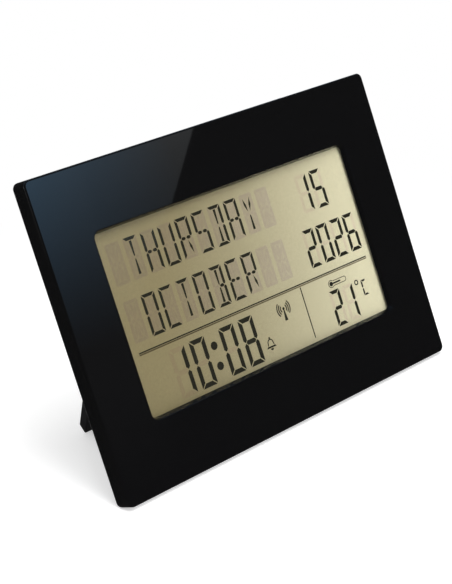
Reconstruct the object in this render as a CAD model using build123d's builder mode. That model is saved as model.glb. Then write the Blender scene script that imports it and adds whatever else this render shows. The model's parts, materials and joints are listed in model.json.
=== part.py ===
from build123d import *
import math
import os

# A slab-shaped calendar clock with a segment display, leaning back on a fold-out
# stand. Lengths are in millimetres and angles in degrees. +Z is up, the face looks
# towards -Y, and the origin is the middle of the narrow flat under the case on which
# the clock stands. Most pieces are drawn on planes parallel to the face: a depth is
# measured back from the front of the face, and a height up from the face's centre.

os.makedirs("parts", exist_ok=True)

# Case
case_width = 216.0
case_height = 150.0
case_corner_radius = 3.0
inner_corner_radius = 1.2
front_edge_radius = 0.8
rim_edge_radius = 0.4
front_wall = 2.6
side_wall = 2.2
lean_angle = 17.5
land_depth = 2.6

# Window in the face
frame_side = 26.5
window_height = 88.6
window_corner_radius = 3.7
window_bevel = 1.2
window_edge_radius = 0.5

# Lens and the adhesive frame that holds it
tape_thickness = 0.2
tape_setback = 0.5
lens_thickness = 1.5
lens_overlap = 3.7
lens_corner_radius = 1.5
lens_play = 0.3
lens_rib_wall = 1.2

# Display cell, from front to rear
layer_gap = 0.1
film_thickness = 0.2
film_inset = 1.5
glass_thickness = 1.0
glass_side_overlap = 3.7
glass_end_overlap = 2.4
contact_ledge = 4.0

# Holder that clamps the display to the front frame
holder_thickness = 1.5
holder_rim_wall = 1.5
holder_play = 0.3
ear_width = 8.4
ear_reach = 8.0
ear_thickness = 1.2
ear_pitch = 38.0
ear_count = 3
holder_boss_radius = 3.0

# Elastomer strip that joins the display to the board
strip_side_margin = 8.0
strip_thickness = 3.0
strip_play = 0.3

# Main board and what is soldered to it
board_width = 96.0
board_height = 48.0
board_strip_margin = 2.0
board_thickness = 1.2
board_corner_radius = 1.5
board_standoff = 2.1
board_post_radius = 2.5
board_post_inset = 4.0
blob_radius = 7.0
blob_height = 2.0
blob_place_shares = (0.10, 0.12)
crystal_radius = 1.05
crystal_length = 6.2
crystal_place_shares = (0.30, 0.16)
capacitor_radius = 3.0
capacitor_height = 5.0
capacitor_place_shares = (0.36, -0.08)
bead_radius = 1.2
bead_lead_radius = 0.25
bead_lead_pitch = 1.3
bead_lead_length = 7.0
bead_overhang = 3.0
bead_place_share = -0.40
solder_gap = 0.05

# Radio receiver board, standing on short pins on the main board
radio_width = 20.0
radio_height = 13.0
radio_thickness = 0.8
radio_place_shares = (-0.30, 0.14)
radio_pin_width = 0.7
radio_pin_length = 1.6
radio_pin_pitch = 2.54
radio_pin_count = 4

# Rear cover: a panel with a raised housing, a battery box and a wall hanger
cover_wall = 2.0
cover_play = 0.2
cover_corner_radius = 1.0
cover_edge_chamfer = 0.8
lip_depth = 3.0
lip_wall = 1.5
pod_side_room = 3.0
aside_room = 20.0
pod_top_room = 1.0
pod_foot_margin = 3.0
pod_rise = 8.1
pod_corner_radius = 4.0
pod_edge_radius = 1.5
box_side_wall = 2.6
box_end_wall = 3.5
box_key_gap = 21.0
box_corner_radius = 2.5
box_edge_radius = 0.7
hanger_width = 26.0
hanger_height = 19.0
hanger_margin = 2.5
keyhole_radius = 4.0
keyhole_slot_radius = 2.0
keyhole_drop = 3.0
keyhole_travel = 8.0

# Batteries and their bay
cell_radius = 7.1
cell_length = 49.2
cell_nub_radius = 2.75
cell_nub_length = 1.0
cell_edge_radius = 0.8
cell_spacing = 1.2
cell_play = 0.3
cell_headroom = 0.55
bay_wall = 1.5
bay_floor = 1.4
contact_thickness = 0.4
contact_width = 11.0
contact_reach = 11.2
tab_width = 3.0
tab_reach = 1.6
tab_drop = 1.5
tab_play = 0.15
lead_radius = 0.5
lead_bend = 1.2
lead_spacing = 1.3
lead_board_inset = 1.5
spring_length = 8.0
spring_large_radius = 4.6
spring_small_radius = 2.6
spring_wall = 0.8

# Battery door, which slides out sideways in two grooves
door_thickness = 1.9
door_tongue_thickness = 1.1
door_tongue_reach = 1.2
door_play = 0.15
door_stop_wall = 1.6
grip_rib_width = 1.0
grip_rib_length = 13.0
grip_rib_height = 0.5
grip_rib_pitch = 2.2
grip_rib_count = 5
grip_rib_round_share = 0.45
grip_inset = 9.0

# Keys on the back, each over a push switch
key_names = ("mode", "minus", "plus", "alarm", "radio")
key_pitch = 17.0
key_row_inset = 9.0
key_width = 10.4
key_height = 6.0
key_corner_radius = 2.2
key_play = 0.2
key_proud = 1.2
key_edge_radius = 0.6
key_flange = 1.0
key_flange_thickness = 1.0
switch_width = 6.0
switch_height = 3.6
plunger_radius = 1.7
plunger_play = 0.1
plunger_proud = 1.0
plunger_sunk = 0.8
plunger_pocket = 1.6

# Sounder, its seat ring, and the holes in front of it
sounder_radius = 8.0
sounder_thickness = 0.3
sounder_ceramic_radius = 5.5
sounder_ceramic_thickness = 0.25
sounder_ring_wall = 1.4
sounder_ring_height = 1.5
sound_hole_radius = 0.8
sound_hole_pitch = 3.2
sound_hole_count = 6

# Air slots beside the temperature sensor
vent_length = 9.0
vent_width = 1.4
vent_pitch = 3.0
vent_count = 5
vent_drop = 17.0
vent_shift = 3.0

# Radio aerial: a ferrite rod with a coil, held in two clips
rod_radius = 3.0
rod_length = 40.0
rod_depth = 13.0
coil_radius = 4.0
coil_length = 18.0
clip_width = 9.0
clip_thickness = 3.0
clip_pitch = 32.0
clip_play = 0.05

# Screws
screw_play = 0.05
case_screw_radius = 1.3
case_screw_length = 5.0
case_screw_head_radius = 2.6
case_screw_head_height = 1.7
case_screw_inset = 9.0
case_boss_radius = 3.5
well_wall = 1.6
well_depth = 2.4
well_play = 0.4
screw_way_play = 0.25
small_screw_radius = 0.9
small_screw_length = 4.0
small_screw_head_radius = 1.9
small_screw_head_height = 1.1
cross_width = 0.7
cross_length_share = 1.3
cross_depth_share = 0.6
pilot_spare = 0.6

# Fold-out stand: two arms joined by a bar, on two pins, with soft feet
stand_open_angle = 37.3
stand_side_gap = 0.4
stand_arm_width = 12.6
stand_thickness = 7.0
stand_tip_thickness = 5.3
stand_tip_slant = 2.7
stand_fold_gap = 0.4
stand_stop_gap = 0.15
stand_stop_length = 2.0
stand_edge_radius = 0.8
stand_bar_height = 9.0
stand_bar_corner_radius = 4.0
parallel_share = 0.999
stand_pin_radius = 2.0
stand_pin_length = 3.2
pivot_rise = 36.9
pivot_play = 0.05
foot_height = 6.0
foot_width = 24.0
foot_flat = 0.4
tongue_length = 3.4
tongue_wall = 1.3
tongue_play = 0.05

# Depths that follow from the stack behind the face
tape_depth = front_wall
lens_depth = tape_depth + tape_thickness
front_film_depth = lens_depth + lens_thickness + layer_gap
front_glass_depth = front_film_depth + film_thickness
rear_glass_depth = front_glass_depth + glass_thickness
rear_film_depth = rear_glass_depth + glass_thickness
holder_depth = rear_film_depth + film_thickness + layer_gap
case_depth = holder_depth + ear_thickness + small_screw_head_height + cover_play
holder_rear = holder_depth + holder_thickness
board_depth = holder_rear + board_standoff
board_rear = board_depth + board_thickness
panel_depth = case_depth
panel_rear = panel_depth + cover_wall
pod_rear = panel_rear + pod_rise
pod_inside = pod_rear - cover_wall
bay_front = holder_rear + layer_gap + bay_floor
cell_depth = bay_front + cell_play + cell_radius
door_ledge = cell_depth + cell_radius + cell_headroom
box_rear = door_ledge + door_play + door_thickness
box_rise = box_rear - pod_rear
head_seat = panel_rear - well_depth
boss_rear = head_seat - well_wall

# Sizes that follow from what lies around them
window_width = case_width - 2 * frame_side
window_rear_width = window_width - 2 * window_bevel
window_rear_height = window_height - 2 * window_bevel
lens_width = window_rear_width + 2 * lens_overlap
lens_height = window_rear_height + 2 * lens_overlap
glass_width = window_rear_width + 2 * glass_side_overlap
rear_glass_height = window_rear_height + 2 * glass_end_overlap
front_glass_height = rear_glass_height + contact_ledge
glass_rise = contact_ledge / 2
holder_width = glass_width + 2 * (holder_play + holder_rim_wall)
holder_height = front_glass_height + 2 * (holder_play + holder_rim_wall)
ear_place = holder_width / 2 + ear_reach / 2
strip_length = board_width - 2 * strip_side_margin
strip_rise = rear_glass_height / 2 + contact_ledge / 2
board_top = strip_rise + strip_thickness / 2 + board_strip_margin
board_rise = board_top - board_height / 2
board_bottom = board_top - board_height
key_row = board_bottom + key_row_inset
key_depth = board_rear + switch_height + plunger_proud
cover_width = case_width - 2 * (side_wall + cover_play)
cover_height = case_height - 2 * (side_wall + cover_play)
cell_pitch = 2 * cell_radius + cell_spacing
bay_length = cell_length + cell_nub_length + spring_length + 2 * contact_thickness
bay_height = cell_pitch + 2 * (cell_radius + cell_play)
door_height = bay_height + 2 * bay_wall
groove_height = door_height + 2 * (door_tongue_reach + door_play)
box_width = bay_length + 2 * box_end_wall
box_height = groove_height + 2 * box_side_wall
box_top = key_row - key_height / 2 - box_key_gap
box_middle = box_top - box_height / 2
pod_inner_width = max(board_width + 2 * pod_side_room, bay_length + 2 * (bay_wall + aside_room))
pod_width = pod_inner_width + 2 * cover_wall
pod_top = board_top + pod_top_room + cover_wall
pod_bottom = box_top - box_height - pod_foot_margin
pod_height = pod_top - pod_bottom
pod_middle = (pod_top + pod_bottom) / 2
hanger_middle = pod_top - hanger_margin - hanger_height / 2
keyhole_place = hanger_middle - keyhole_drop
aside = (bay_length / 2 + bay_wall + pod_inner_width / 2) / 2
sounder_place = (aside, box_middle)
rod_place = (-aside, box_middle)
vent_place = (-aside - vent_shift, key_row - vent_drop)
case_screw_x = case_width / 2 - case_screw_inset
case_screw_z = case_height / 2 - case_screw_inset
stand_width = pod_width + 2 * (stand_side_gap + stand_arm_width)

# Planes: behind(depth) is parallel to the face and looks forwards, across(x) is the
# clock's side view, with depth along its first axis and height along its second.
lean = math.radians(lean_angle)
rearward = Vector(0, math.cos(lean), -math.sin(lean))
upward = Vector(0, math.sin(lean), math.cos(lean))
land_run = land_depth / math.cos(lean)
face_centre = (
    Vector(0, -land_run / 2, 0)
    + upward * (case_height / 2)
    - rearward * (case_depth - land_depth)
)
FACE = Plane(origin=face_centre, x_dir=(1, 0, 0), z_dir=-rearward)
REAR = Axis(face_centre, rearward)


def behind(depth):
    return FACE.offset(-depth)


def across(x):
    return Plane(origin=face_centre + Vector(x, 0, 0), x_dir=rearward, z_dir=(1, 0, 0))


case_screw_places = [
    (x, z) for x in (-case_screw_x, 0, case_screw_x) for z in (-case_screw_z, case_screw_z)
]
ear_places = [
    (side * ear_place, glass_rise + ear_pitch * (row - (ear_count - 1) / 2))
    for side in (-1, 1)
    for row in range(ear_count)
]
board_post_places = [
    (x * (board_width / 2 - board_post_inset), board_rise + z * (board_height / 2 - board_post_inset))
    for x in (-1, 1)
    for z in (-1, 1)
]
key_places = [
    (key_pitch * (order - (len(key_names) - 1) / 2), key_row)
    for order in range(len(key_names))
]


def on_board(shares):
    return (shares[0] * board_width, board_rise + shares[1] * board_height)


# Front frame: one glossy moulding, a flat face with a bevelled window and thin sides
with BuildPart() as front_frame:
    with BuildSketch(FACE):
        RectangleRounded(case_width, case_height, case_corner_radius)
    extrude(amount=-case_depth)
    fillet(front_frame.faces().sort_by(REAR)[0].edges(), front_edge_radius)
    fillet(front_frame.faces().sort_by(REAR)[-1].edges(), rim_edge_radius)
    with BuildSketch(behind(front_wall)):
        RectangleRounded(
            case_width - 2 * side_wall, case_height - 2 * side_wall, inner_corner_radius
        )
    extrude(amount=-(case_depth - front_wall), mode=Mode.SUBTRACT)
    with BuildSketch(FACE):
        RectangleRounded(window_width, window_height, window_corner_radius)
    with BuildSketch(behind(front_wall)):
        RectangleRounded(
            window_rear_width, window_rear_height, window_corner_radius - window_bevel
        )
    loft(mode=Mode.SUBTRACT)
    fillet(front_frame.faces().sort_by(REAR)[0].inner_wires()[0].edges(), window_edge_radius)
    with BuildSketch(behind(front_wall)):
        Rectangle(
            lens_width + 2 * (lens_play + lens_rib_wall), lens_height + 2 * (lens_play + lens_rib_wall)
        )
        Rectangle(lens_width + 2 * lens_play, lens_height + 2 * lens_play, mode=Mode.SUBTRACT)
    extrude(amount=-(tape_thickness + lens_thickness))
    with BuildSketch(behind(front_wall)):
        with Locations(*case_screw_places):
            Circle(case_boss_radius)
    extrude(amount=-(boss_rear - front_wall))
    with BuildSketch(behind(front_wall)):
        with Locations(*ear_places):
            Circle(holder_boss_radius)
    extrude(amount=-(holder_depth - front_wall))
    with BuildSketch(behind(boss_rear)):
        with Locations(*case_screw_places):
            Circle(case_screw_radius + screw_play)
    extrude(amount=boss_rear - head_seat + case_screw_length + pilot_spare, mode=Mode.SUBTRACT)
    with BuildSketch(behind(holder_depth)):
        with Locations(*ear_places):
            Circle(small_screw_radius + screw_play)
    extrude(amount=small_screw_length - ear_thickness + pilot_spare, mode=Mode.SUBTRACT)
    split(bisect_by=Plane.XY, keep=Keep.TOP)
front_frame.part.label = "front_frame"
export_step(front_frame.part, "parts/front_frame.step")

# Adhesive frame between the front frame and the lens
with BuildPart() as lens_tape:
    with BuildSketch(behind(tape_depth)):
        RectangleRounded(lens_width, lens_height, lens_corner_radius)
        Rectangle(
            window_rear_width + 2 * tape_setback,
            window_rear_height + 2 * tape_setback,
            mode=Mode.SUBTRACT,
        )
    extrude(amount=-tape_thickness)
lens_tape.part.label = "lens_tape"
export_step(lens_tape.part, "parts/lens_tape.step")

# Clear lens that closes the window
with BuildPart() as window_lens:
    with BuildSketch(behind(lens_depth)):
        RectangleRounded(lens_width, lens_height, lens_corner_radius)
    extrude(amount=-lens_thickness)
window_lens.part.label = "window_lens"
export_step(window_lens.part, "parts/window_lens.step")

# Front polariser, a film on the display's front glass
with BuildPart() as front_polariser:
    with BuildSketch(behind(front_film_depth)):
        Rectangle(glass_width - 2 * film_inset, rear_glass_height - 2 * film_inset)
    extrude(amount=-film_thickness)
front_polariser.part.label = "front_polariser"
export_step(front_polariser.part, "parts/front_polariser.step")

# Front glass of the display, taller than the rear one by the contact ledge
with BuildPart() as front_glass:
    with BuildSketch(behind(front_glass_depth)):
        with Locations((0, glass_rise)):
            Rectangle(glass_width, front_glass_height)
    extrude(amount=-glass_thickness)
front_glass.part.label = "front_glass"
export_step(front_glass.part, "parts/front_glass.step")

# Rear glass of the display
with BuildPart() as rear_glass:
    with BuildSketch(behind(rear_glass_depth)):
        Rectangle(glass_width, rear_glass_height)
    extrude(amount=-glass_thickness)
rear_glass.part.label = "rear_glass"
export_step(rear_glass.part, "parts/rear_glass.step")

# Rear polariser with its reflecting backing
with BuildPart() as reflector_film:
    with BuildSketch(behind(rear_film_depth)):
        Rectangle(glass_width - 2 * film_inset, rear_glass_height - 2 * film_inset)
    extrude(amount=-film_thickness)
reflector_film.part.label = "reflector_film"
export_step(reflector_film.part, "parts/reflector_film.step")

# Holder: a tray screwed to the front frame, with posts for the main board
with BuildPart() as display_holder:
    with BuildSketch(behind(holder_depth)):
        with Locations((0, glass_rise)):
            Rectangle(holder_width, holder_height)
    extrude(amount=-holder_thickness)
    with BuildSketch(behind(holder_depth)):
        with Locations((0, glass_rise)):
            Rectangle(holder_width, holder_height)
            Rectangle(
                glass_width + 2 * holder_play,
                front_glass_height + 2 * holder_play,
                mode=Mode.SUBTRACT,
            )
    extrude(amount=holder_depth - front_film_depth)
    with BuildSketch(behind(holder_depth)):
        for x, z in ear_places:
            with Locations((x, z)):
                Rectangle(ear_reach, ear_width)
    extrude(amount=-ear_thickness)
    with BuildSketch(behind(holder_rear)):
        with Locations(*board_post_places):
            Circle(board_post_radius)
    extrude(amount=-board_standoff)
    with BuildSketch(behind(board_depth)):
        with Locations(*board_post_places):
            Circle(small_screw_radius + screw_play)
    extrude(amount=small_screw_length - board_thickness + pilot_spare, mode=Mode.SUBTRACT)
    with BuildSketch(behind(holder_depth)):
        with Locations(*ear_places):
            Circle(small_screw_radius + screw_way_play)
        with Locations((0, strip_rise)):
            Rectangle(strip_length + 2 * strip_play, strip_thickness + 2 * strip_play)
    extrude(amount=-holder_thickness, mode=Mode.SUBTRACT)
display_holder.part.label = "display_holder"
export_step(display_holder.part, "parts/display_holder.step")

# Elastomer connector strip from the contact ledge to the board
with BuildPart() as connector_strip:
    with BuildSketch(behind(rear_glass_depth)):
        with Locations((0, strip_rise)):
            Rectangle(strip_length, strip_thickness)
    extrude(amount=-(board_depth - rear_glass_depth))
connector_strip.part.label = "connector_strip"
export_step(connector_strip.part, "parts/connector_strip.step")

# Main board
with BuildPart() as main_board:
    with BuildSketch(behind(board_depth)):
        with Locations((0, board_rise)):
            RectangleRounded(board_width, board_height, board_corner_radius)
        with Locations(*board_post_places):
            Circle(small_screw_radius + screw_way_play, mode=Mode.SUBTRACT)
    extrude(amount=-board_thickness)
main_board.part.label = "main_board"
export_step(main_board.part, "parts/main_board.step")

# Clock chip under its drop of black resin
with BuildPart() as clock_chip:
    with BuildSketch(behind(board_rear)):
        with Locations(on_board(blob_place_shares)):
            Circle(blob_radius)
    extrude(amount=-blob_height)
    fillet(clock_chip.faces().sort_by(REAR)[-1].edges(), blob_height - solder_gap)
clock_chip.part.label = "clock_chip"
export_step(clock_chip.part, "parts/clock_chip.step")

# Quartz crystal in its round can, lying on the board
crystal_x, crystal_z = on_board(crystal_place_shares)
with BuildPart() as quartz_crystal:
    with BuildSketch(across(crystal_x - crystal_length / 2)):
        with Locations((board_rear + crystal_radius + solder_gap, crystal_z)):
            Circle(crystal_radius)
    extrude(amount=crystal_length)
quartz_crystal.part.label = "quartz_crystal"
export_step(quartz_crystal.part, "parts/quartz_crystal.step")

# Supply capacitor
with BuildPart() as capacitor:
    with BuildSketch(behind(board_rear)):
        with Locations(on_board(capacitor_place_shares)):
            Circle(capacitor_radius)
    extrude(amount=-capacitor_height)
capacitor.part.label = "capacitor"
export_step(capacitor.part, "parts/capacitor.step")

# Temperature sensor: a resin bead on two leads, hanging off the board's lower edge
bead_x = bead_place_share * board_width
bead_z = board_rise - board_height / 2 - bead_overhang
bead_depth = board_rear + bead_lead_radius + solder_gap
with BuildPart() as temperature_sensor:
    bead_plane = Plane(
        origin=FACE.from_local_coords((bead_x, bead_z, -bead_depth)), x_dir=(1, 0, 0), z_dir=upward
    )
    with BuildSketch(bead_plane):
        with GridLocations(bead_lead_pitch, 0, 2, 1):
            Circle(bead_lead_radius)
    extrude(amount=bead_lead_length)
    with Locations(bead_plane):
        Sphere(bead_radius)
temperature_sensor.part.label = "temperature_sensor"
export_step(temperature_sensor.part, "parts/temperature_sensor.step")

# Radio receiver board and the pins that carry it
with BuildPart() as radio_pins:
    with BuildSketch(behind(board_rear)):
        with Locations(on_board(radio_place_shares)):
            with GridLocations(radio_pin_pitch, 0, radio_pin_count, 1):
                Rectangle(radio_pin_width, radio_pin_width)
    extrude(amount=-radio_pin_length)
radio_pins.part.label = "radio_pins"
export_step(radio_pins.part, "parts/radio_pins.step")

with BuildPart() as radio_board:
    with BuildSketch(behind(board_rear + radio_pin_length)):
        with Locations(on_board(radio_place_shares)):
            Rectangle(radio_width, radio_height)
    extrude(amount=-radio_thickness)
radio_board.part.label = "radio_board"
export_step(radio_board.part, "parts/radio_board.step")

# Push switches on the main board, each with a pocket for its plunger
with BuildPart() as push_switches:
    with BuildSketch(behind(board_rear)):
        with Locations(*key_places):
            Rectangle(switch_width, switch_width)
    extrude(amount=-switch_height)
    with BuildSketch(behind(board_rear + switch_height)):
        with Locations(*key_places):
            Circle(plunger_radius + plunger_play)
    extrude(amount=plunger_pocket, mode=Mode.SUBTRACT)
push_switches.part.label = "push_switches"
export_step(push_switches.part, "parts/push_switches.step")

# Key caps and the switch plungers that they press
for key_name, key_place in zip(key_names, key_places):
    with BuildPart() as key_cap:
        with BuildSketch(behind(key_depth)):
            with Locations(key_place):
                RectangleRounded(
                    key_width + 2 * key_flange, key_height + 2 * key_flange, key_corner_radius
                )
        extrude(amount=-key_flange_thickness)
        with BuildSketch(behind(key_depth + key_flange_thickness)):
            with Locations(key_place):
                RectangleRounded(key_width, key_height, key_corner_radius)
        extrude(amount=-(pod_rear + key_proud - key_depth - key_flange_thickness))
        fillet(key_cap.faces().sort_by(REAR)[-1].edges(), key_edge_radius)
    key_cap.part.label = f"{key_name}_key"
    export_step(key_cap.part, f"parts/{key_name}_key.step")

    with BuildPart() as plunger:
        with BuildSketch(behind(key_depth - plunger_proud - plunger_sunk)):
            with Locations(key_place):
                Circle(plunger_radius)
        extrude(amount=-(plunger_proud + plunger_sunk))
    plunger.part.label = f"{key_name}_plunger"
    export_step(plunger.part, f"parts/{key_name}_plunger.step")

# Rear cover
bay_end = bay_length / 2
upper_cell = box_middle + cell_pitch / 2
lower_cell = box_middle - cell_pitch / 2
tab_depth = pod_inside - tab_drop - tab_width / 2
door_width = box_width / 2 + bay_length / 2 + door_stop_wall
door_middle = (box_width / 2 - bay_length / 2 - door_stop_wall) / 2
with BuildPart() as rear_cover:
    with BuildSketch(behind(panel_depth)):
        RectangleRounded(cover_width, cover_height, cover_corner_radius)
    extrude(amount=-cover_wall)
    chamfer(rear_cover.faces().sort_by(REAR)[-1].edges(), cover_edge_chamfer)
    with BuildSketch(behind(panel_depth)):
        RectangleRounded(cover_width, cover_height, cover_corner_radius)
        Rectangle(cover_width - 2 * lip_wall, cover_height - 2 * lip_wall, mode=Mode.SUBTRACT)
    extrude(amount=lip_depth)
    with BuildSketch(behind(panel_rear)):
        with Locations((0, pod_middle)):
            RectangleRounded(pod_width, pod_height, pod_corner_radius)
    extrude(amount=-pod_rise)
    fillet(rear_cover.faces().sort_by(REAR)[-1].edges(), pod_edge_radius)
    with BuildSketch(behind(pod_rear)):
        with Locations((0, box_middle)):
            RectangleRounded(box_width, box_height, box_corner_radius)
        with Locations((0, hanger_middle)):
            RectangleRounded(hanger_width, hanger_height, box_corner_radius)
    extrude(amount=-box_rise)
    fillet(rear_cover.faces().group_by(REAR)[-1].edges(), box_edge_radius)
    with BuildSketch(behind(panel_depth)):
        with Locations((0, pod_middle)):
            RectangleRounded(
                pod_width - 2 * cover_wall, pod_height - 2 * cover_wall, pod_corner_radius - cover_wall
            )
    extrude(amount=-(pod_inside - panel_depth), mode=Mode.SUBTRACT)
    with BuildSketch(behind(pod_inside)):
        with Locations((0, hanger_middle)):
            Rectangle(hanger_width - 2 * cover_wall, hanger_height - 2 * cover_wall)
    extrude(amount=-box_rise, mode=Mode.SUBTRACT)
    with BuildSketch(behind(bay_front - bay_floor)):
        with Locations((0, box_middle)):
            Rectangle(bay_length + 2 * bay_wall, bay_height + 2 * bay_wall)
    extrude(amount=-(pod_rear - bay_front + bay_floor))
    with BuildSketch(behind(bay_front)):
        with Locations((0, box_middle)):
            Rectangle(bay_length, bay_height)
    extrude(amount=-(box_rear - bay_front), mode=Mode.SUBTRACT)
    with BuildSketch(across(-bay_end)):
        with Locations((tab_depth, upper_cell), (tab_depth, lower_cell)):
            Rectangle(tab_width + 2 * tab_play, contact_thickness + 2 * tab_play)
    extrude(amount=-bay_wall, mode=Mode.SUBTRACT)
    with BuildSketch(behind(door_ledge)):
        with Locations((door_middle, box_middle)):
            Rectangle(door_width + 2 * door_play, door_height + 2 * door_play)
    extrude(amount=-(door_thickness + door_play), mode=Mode.SUBTRACT)
    with BuildSketch(behind(door_ledge)):
        with Locations((door_middle, box_middle)):
            Rectangle(door_width + 2 * door_play, groove_height)
    extrude(amount=-(door_tongue_thickness + 2 * door_play), mode=Mode.SUBTRACT)
    with BuildSketch(behind(panel_depth)):
        with Locations(*case_screw_places):
            Circle(case_screw_head_radius + well_play + well_wall)
    extrude(amount=panel_depth - boss_rear)
    with BuildSketch(behind(boss_rear)):
        with Locations(*case_screw_places):
            Circle(case_screw_radius + screw_way_play)
    extrude(amount=-(panel_rear - boss_rear), mode=Mode.SUBTRACT)
    with BuildSketch(behind(head_seat)):
        with Locations(*case_screw_places):
            Circle(case_screw_head_radius + well_play)
    extrude(amount=-well_depth, mode=Mode.SUBTRACT)
    with BuildSketch(behind(pod_inside)):
        with Locations(*key_places):
            RectangleRounded(
                key_width + 2 * key_play, key_height + 2 * key_play, key_corner_radius + key_play
            )
        with Locations(sounder_place):
            Circle(sound_hole_radius)
            with PolarLocations(sound_hole_pitch, sound_hole_count):
                Circle(sound_hole_radius)
        with Locations(vent_place):
            with GridLocations(0, vent_pitch, 1, vent_count):
                SlotOverall(vent_length, vent_width)
    extrude(amount=-cover_wall, mode=Mode.SUBTRACT)
    with BuildSketch(behind(pod_inside)):
        with Locations(sounder_place):
            Circle(sounder_radius)
            Circle(sounder_radius - sounder_ring_wall, mode=Mode.SUBTRACT)
    extrude(amount=sounder_ring_height)
    with BuildSketch(behind(box_rear - cover_wall)):
        with Locations((0, keyhole_place)):
            Circle(keyhole_radius)
        with Locations((0, keyhole_place + keyhole_travel / 2)):
            SlotCenterToCenter(keyhole_travel, 2 * keyhole_slot_radius, rotation=90)
    extrude(amount=-cover_wall, mode=Mode.SUBTRACT)
    with BuildSketch(across(-pod_width / 2)):
        with Locations((panel_rear + stand_fold_gap + stand_thickness / 2, pivot_rise)):
            Circle(stand_pin_radius + pivot_play)
    extrude(amount=pod_width, mode=Mode.SUBTRACT)
rear_cover.part.label = "rear_cover"
export_step(rear_cover.part, "parts/rear_cover.step")

# Battery door with its two side tongues and thumb ribs
with BuildPart() as battery_door:
    with BuildSketch(behind(door_ledge + door_play)):
        with Locations((door_middle, box_middle)):
            Rectangle(door_width, door_height + 2 * door_tongue_reach)
    extrude(amount=-door_tongue_thickness)
    with BuildSketch(behind(door_ledge + door_play + door_tongue_thickness)):
        with Locations((door_middle, box_middle)):
            Rectangle(door_width, door_height)
    extrude(amount=-(door_thickness - door_tongue_thickness))
    with BuildSketch(behind(box_rear)):
        with Locations((box_width / 2 - grip_inset, box_middle)):
            with GridLocations(grip_rib_pitch, 0, grip_rib_count, 1):
                RectangleRounded(grip_rib_width, grip_rib_length, grip_rib_width * grip_rib_round_share)
    extrude(amount=-grip_rib_height)
battery_door.part.label = "battery_door"
export_step(battery_door.part, "parts/battery_door.step")

# Battery contacts: two end plates with solder tabs, and the plate that joins the cells
for contact_name, contact_z in (("negative_contact", upper_cell), ("positive_contact", lower_cell)):
    with BuildPart() as end_contact:
        with BuildSketch(across(-bay_end)):
            with Locations((cell_depth, contact_z)):
                Rectangle(contact_reach, contact_width)
        extrude(amount=contact_thickness)
        with BuildSketch(across(-bay_end)):
            with Locations((tab_depth, contact_z)):
                Rectangle(tab_width, contact_thickness)
        extrude(amount=-(bay_wall + tab_reach))
    end_contact.part.label = contact_name
    export_step(end_contact.part, f"parts/{contact_name}.step")

# Leads from the tabs up to the main board
tab_end = -(bay_end + bay_wall + tab_reach)
for order, (lead_name, lead_z) in enumerate(
    (("negative_lead", upper_cell), ("positive_lead", lower_cell))
):
    lead_x = tab_end - lead_spacing * (order + 1)
    lead_points = [
        FACE.from_local_coords(point)
        for point in (
            (tab_end, lead_z, -tab_depth),
            (lead_x, lead_z, -tab_depth),
            (lead_x, board_bottom + lead_board_inset, -tab_depth),
            (lead_x, board_bottom + lead_board_inset, -board_rear),
        )
    ]
    with BuildPart() as lead:
        with BuildLine() as lead_route:
            FilletPolyline(*lead_points, radius=lead_bend)
        with BuildSketch(Plane(origin=lead_points[0], z_dir=(-1, 0, 0))):
            Circle(lead_radius)
        sweep(path=lead_route.line)
    lead.part.label = lead_name
    export_step(lead.part, f"parts/{lead_name}.step")

with BuildPart() as bridge_contact:
    with BuildSketch(across(bay_end - contact_thickness)):
        with Locations((cell_depth, box_middle)):
            Rectangle(contact_reach, contact_width + cell_pitch)
    extrude(amount=contact_thickness)
bridge_contact.part.label = "bridge_contact"
export_step(bridge_contact.part, "parts/bridge_contact.step")

# Cells, one each way round, and the tapered springs at their flat ends
for cell_name, spring_name, cell_z, facing in (
    ("upper_battery", "upper_spring", upper_cell, 1),
    ("lower_battery", "lower_spring", lower_cell, -1),
):
    spring_start = -facing * (bay_end - contact_thickness)
    cell_start = spring_start + facing * spring_length
    with BuildPart() as battery:
        with BuildSketch(across(cell_start)):
            with Locations((cell_depth, cell_z)):
                Circle(cell_radius)
        extrude(amount=facing * cell_length)
        fillet(battery.edges(), cell_edge_radius)
        with BuildSketch(across(cell_start + facing * cell_length)):
            with Locations((cell_depth, cell_z)):
                Circle(cell_nub_radius)
        extrude(amount=facing * cell_nub_length)
    battery.part.label = cell_name
    export_step(battery.part, f"parts/{cell_name}.step")

    with BuildPart() as spring:
        for wall in (0, spring_wall):
            with BuildSketch(across(spring_start)):
                with Locations((cell_depth, cell_z)):
                    Circle(spring_large_radius - wall)
            with BuildSketch(across(cell_start)):
                with Locations((cell_depth, cell_z)):
                    Circle(spring_small_radius - wall)
            loft(mode=Mode.SUBTRACT if wall else Mode.ADD)
    spring.part.label = spring_name
    export_step(spring.part, f"parts/{spring_name}.step")

# Sounder: a brass disc on the cover's ring, with its ceramic layer
sounder_depth = pod_inside - sounder_ring_height - sounder_thickness
with BuildPart() as sounder_disc:
    with BuildSketch(behind(sounder_depth)):
        with Locations(sounder_place):
            Circle(sounder_radius)
    extrude(amount=-sounder_thickness)
sounder_disc.part.label = "sounder_disc"
export_step(sounder_disc.part, "parts/sounder_disc.step")

with BuildPart() as sounder_ceramic:
    with BuildSketch(behind(sounder_depth)):
        with Locations(sounder_place):
            Circle(sounder_ceramic_radius)
    extrude(amount=sounder_ceramic_thickness)
sounder_ceramic.part.label = "sounder_ceramic"
export_step(sounder_ceramic.part, "parts/sounder_ceramic.step")


def upright(height):
    centre = FACE.from_local_coords((rod_place[0], rod_place[1] + height, -rod_depth))
    return Plane(origin=centre, x_dir=(1, 0, 0), z_dir=upward)


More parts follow.
